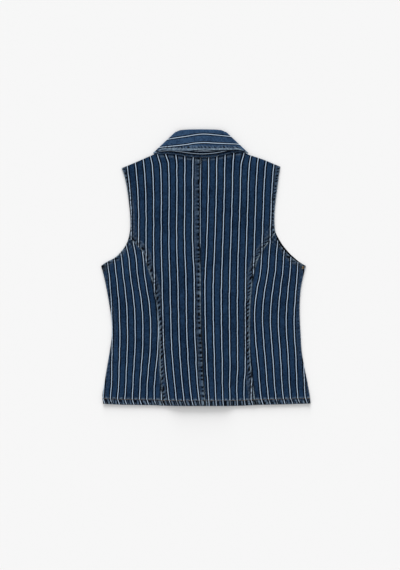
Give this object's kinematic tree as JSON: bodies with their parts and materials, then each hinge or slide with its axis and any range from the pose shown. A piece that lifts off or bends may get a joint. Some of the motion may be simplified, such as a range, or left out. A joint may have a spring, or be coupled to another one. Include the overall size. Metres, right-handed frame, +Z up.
{
  "type": "denim vest",
  "caption": "Sleeveless pinstriped denim vest with a turned-down collar and a shaped back, laid flat on its buttoned front.",
  "frame": {"origin": "centre of the vest's bounding rectangle on the surface that it lies on", "axes": "+X to the right as seen from above, +Y from the hem to the collar, +Z up, out of the vest's back"},
  "size_m": [0.4303, 0.5675, 0.0098],
  "materials": {
    "denim": "washed indigo denim twill with narrow pale blue stripes and tan topstitching",
    "button_metal": "plain aged metal with a rolled rim"
  },
  "bodies": {
    "root": {"back_centre_left": "denim", "back_centre_right": "denim", "back_side_left": "denim", "back_side_right": "denim", "front_left": "denim", "front_right": "denim", "button_band": "denim", "buttonhole_band": "denim", "collar_stand": "denim", "collar_leaf": "denim", "button_1": "button_metal", "button_2": "button_metal", "button_3": "button_metal", "button_4": "button_metal", "button_5": "button_metal", "button_6": "button_metal"}
  },
  "joints": []
}
